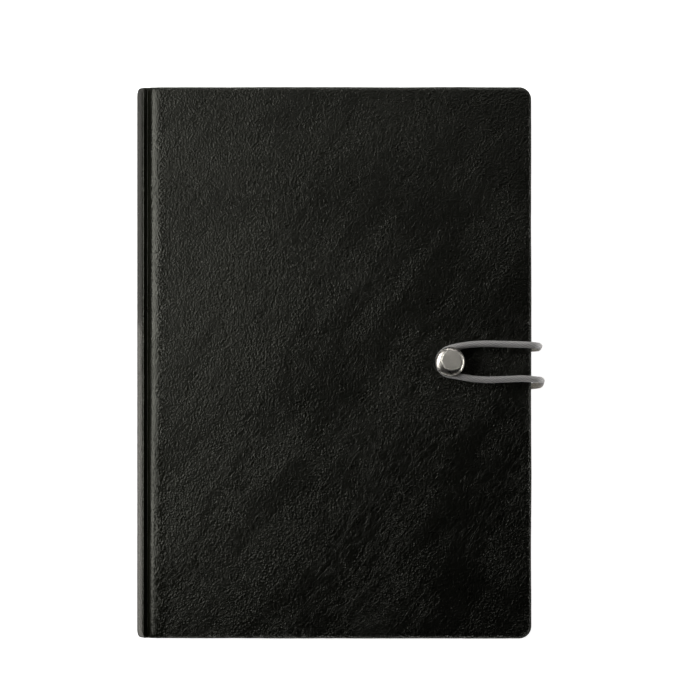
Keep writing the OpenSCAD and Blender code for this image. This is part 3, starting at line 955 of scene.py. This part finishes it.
def make_signature(index, dice):
    """Folded sheets nested in one another; each one's edges stop a hair apart from the next one's."""
    name = f"signature_{index}"
    lo, hi = (Vector(c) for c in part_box(name))
    total = hi.z - lo.z
    leaf = total / (2 * SHEETS)
    mid = (lo.z + hi.z) / 2
    fold_x = lo.x + total / 2
    verts, faces = [], []
    for k in range(SHEETS):
        r = total / 2 - leaf * (k + 0.5)
        fore = hi.x - dice.uniform(0, 0.12) * MM
        x = np.linspace(fore, fold_x, PAGE_STEPS)
        a = np.linspace(90, 270, 9)[1:-1] * math.pi / 180
        bend = np.stack([fold_x + r * np.cos(a), mid + r * np.sin(a)], axis=1)
        upper = np.stack([x, np.full(len(x), mid + r)], axis=1)
        lower = np.stack([x[::-1], np.full(len(x), mid - r)], axis=1)
        lower[-1, 0] -= dice.uniform(0, 0.1) * MM
        y0, y1 = lo.y + dice.uniform(0, 0.1) * MM, hi.y - dice.uniform(0, 0.1) * MM
        v, f = ribbon(np.vstack([upper, bend, lower]), y0, y1, leaf * LEAF_SHARE, 8)
        faces.extend(tuple(i + len(verts) for i in q) for q in f)
        verts.extend(v)
    obj = new_mesh(f"{name}_leaves", verts, faces, smooth=False)
    fix_normals(obj)
    finish_piece(obj, PAPER, "back_cover", (name,))


def make_pages():
    dice = random.Random(7)
    for index in range(1, SIGNATURES + 1):
        make_signature(index, dice)


def sheet_grid(name, x0, x1, y0, y1, z_of, thickness, nx, ny):
    """A closed thin sheet over a grid, z_of(x, y) giving its lower face."""
    verts, faces = [], []
    xs, ys = np.linspace(x0, x1, nx), np.linspace(y0, y1, ny)
    for lift in (0, thickness):
        for x in xs:
            for y in ys:
                verts.append((x, y, z_of(x, y) + lift))
    size = nx * ny
    for i in range(nx - 1):
        for j in range(ny - 1):
            a = i * ny + j
            faces.append((a, a + 1, a + ny + 1, a + ny))
            faces.append((size + a, size + a + ny, size + a + ny + 1, size + a + 1))
    edge = [(i, 0) for i in range(nx)] + [(nx - 1, j) for j in range(1, ny)]
    edge += [(i, ny - 1) for i in range(nx - 2, -1, -1)] + [(0, j) for j in range(ny - 2, 0, -1)]
    for k, (i, j) in enumerate(edge):
        p, q = edge[(k + 1) % len(edge)]
        a, b = i * ny + j, p * ny + q
        faces.append((a, b, size + b, size + a))
    obj = new_mesh(name, verts, faces)
    fix_normals(obj)
    sharp_edges(obj, SHARP)
    return obj


def make_pastedown(front):
    """The endpaper glued inside a cover, sunk a little where no turn-in lies under it."""
    node = "front_pastedown" if front else "back_pastedown"
    lo, hi = (Vector(c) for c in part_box(node))
    t = PASTEDOWN_T
    level = lo.z if front else hi.z - t
    sink = PASTEDOWN_DIP * (1 if front else -1)
    win_x, win_y = FORE - TURN_IN, HEAD - TURN_IN

    def z_of(x, y):
        inside = min((win_x - x) / DIP_SLOPE, (win_y - abs(y)) / DIP_SLOPE)
        f = min(max(inside, 0), 1)
        return level + sink * f * f * (3 - 2 * f)

    obj = sheet_grid(f"{node}_sheet", lo.x, hi.x, lo.y, hi.y, z_of, t, 180, 240)
    body = "front_cover" if front else "back_cover"
    finish_piece(obj, ENDPAPER, body, (node,))


def make_flyleaves():
    for node, body in (("back_flyleaf", "back_cover"), ("front_flyleaf", None)):
        lo, hi = (Vector(c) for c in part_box(node))
        thickness = hi.z - lo.z
        obj = sheet_grid(f"{node}_sheet", lo.x, hi.x, lo.y, hi.y, lambda x, y: lo.z, thickness, 120, 24)
        finish_piece(obj, ENDPAPER, body, (node,))
        if body is None:
            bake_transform(obj)


def make_hinge_paper():
    """The endpaper across the groove, in two strips: block to spine, and spine to front board."""
    y = HEAD - JOINT_PAPER_IN
    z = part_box("front_flyleaf")[1][2] + JOINT_PAPER_UP
    t = JOINT_PAPER_T
    x_block, x_spine, x_board = FRONT_HINGE.x + 0.4 * MM, FRONT_HINGE.x - 0.5 * MM, LEFT + 6.5 * MM
    a = sheet_grid("endpaper_joint_block", x_spine, x_block, -y, y, lambda x, y: z, t, 28, 24)
    finish_piece(a, ENDPAPER)
    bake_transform(a)
    b = sheet_grid("endpaper_joint_board", x_spine, x_board, -y, y, lambda x, y: z, t, 28, 24)
    finish_piece(b, ENDPAPER)
    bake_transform(b)


make_pages()
make_pastedown(True)
make_pastedown(False)
make_flyleaves()
make_hinge_paper()

# ---- Head band and tail band ----

# A band's radius, the waves of its silk, its depth behind the block's back and its gap to the boards
BAND_R, BAND_WAVE, BAND_IN, BAND_GAP = 0.5 * MM, 0.06 * MM, 0.55 * MM, 0.2 * MM
# Steps along a band, steps of one wave of its silk, and sides round it
BAND_STEPS, WAVE_STEPS, BAND_SIDES = 110, 3.0, 14


def make_band(node):
    """A rolled band along the end of the block's rounded back, with silk wound round its core."""
    lo, hi = (Vector(c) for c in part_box(node))
    lining_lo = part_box("spine_lining")[0]
    bulge = GROOVE[0][0] * MM
    half = MID_Z + GROOVE[0][1] * MM
    centre_x = LEFT + (half**2 + bulge**2) / (2 * bulge)
    radius = centre_x - lining_lo[0] - BAND_IN
    centre_y = (lo.y + hi.y) / 2
    span = math.asin(min(1, (hi.z - MID_Z - BAND_GAP) / radius))
    n, sides = BAND_STEPS, BAND_SIDES
    verts, faces = [], []
    for i in range(n + 1):
        a = -span + 2 * span * i / n
        out = np.array([-math.cos(a), 0, math.sin(a)])
        mid = np.array([centre_x, centre_y, MID_Z]) + out * radius
        r = BAND_R + BAND_WAVE * math.cos(2 * math.pi * i / WAVE_STEPS)
        for k in range(sides):
            b = 2 * math.pi * k / sides
            verts.append(mid + r * (math.cos(b) * out + math.sin(b) * np.array([0, 1, 0])))
    for i in range(n):
        for k in range(sides):
            a, b = i * sides + k, i * sides + (k + 1) % sides
            faces.append((a, a + sides, b + sides, b))
    faces.append(tuple(range(sides)))
    faces.append(tuple(n * sides + k for k in range(sides)))
    obj = new_mesh(f"{node}_silk", verts, faces)
    fix_normals(obj)
    finish_piece(obj, BAND, "back_cover", (node,))


make_band("head_band")
make_band("tail_band")

# ---- CAD nodes that stay ----

CARRIED = {
    "front_board": BOARD, "back_board": BOARD, "spine_stiffener": BOARD, "spine_lining": GAUZE,
    "sewing_thread": THREAD, "elastic_anchors": ELASTIC, "stud_rivet": WASHER_METAL,
}


def object_place(material):
    """A copy of a material for CAD meshes: it reads the object's place, as they hold no rest attribute."""
    copy = material.copy()
    copy.name = material.name + "_cad"
    tree = copy.node_tree
    for node in [n for n in tree.nodes if n.type == "ATTRIBUTE" and n.attribute_name == "rest"]:
        place = tree.nodes.new("ShaderNodeTexCoord")
        for link in list(node.outputs["Vector"].links):
            tree.links.new(place.outputs["Object"], link.to_socket)
        tree.nodes.remove(node)
    return copy


def dress_cad():
    copies = {}
    for node, material in CARRIED.items():
        if material.name not in copies:
            copies[material.name] = object_place(material)
        for s in frame["nodes"][node].material_slots:
            s.material = copies[material.name]


dress_cad()
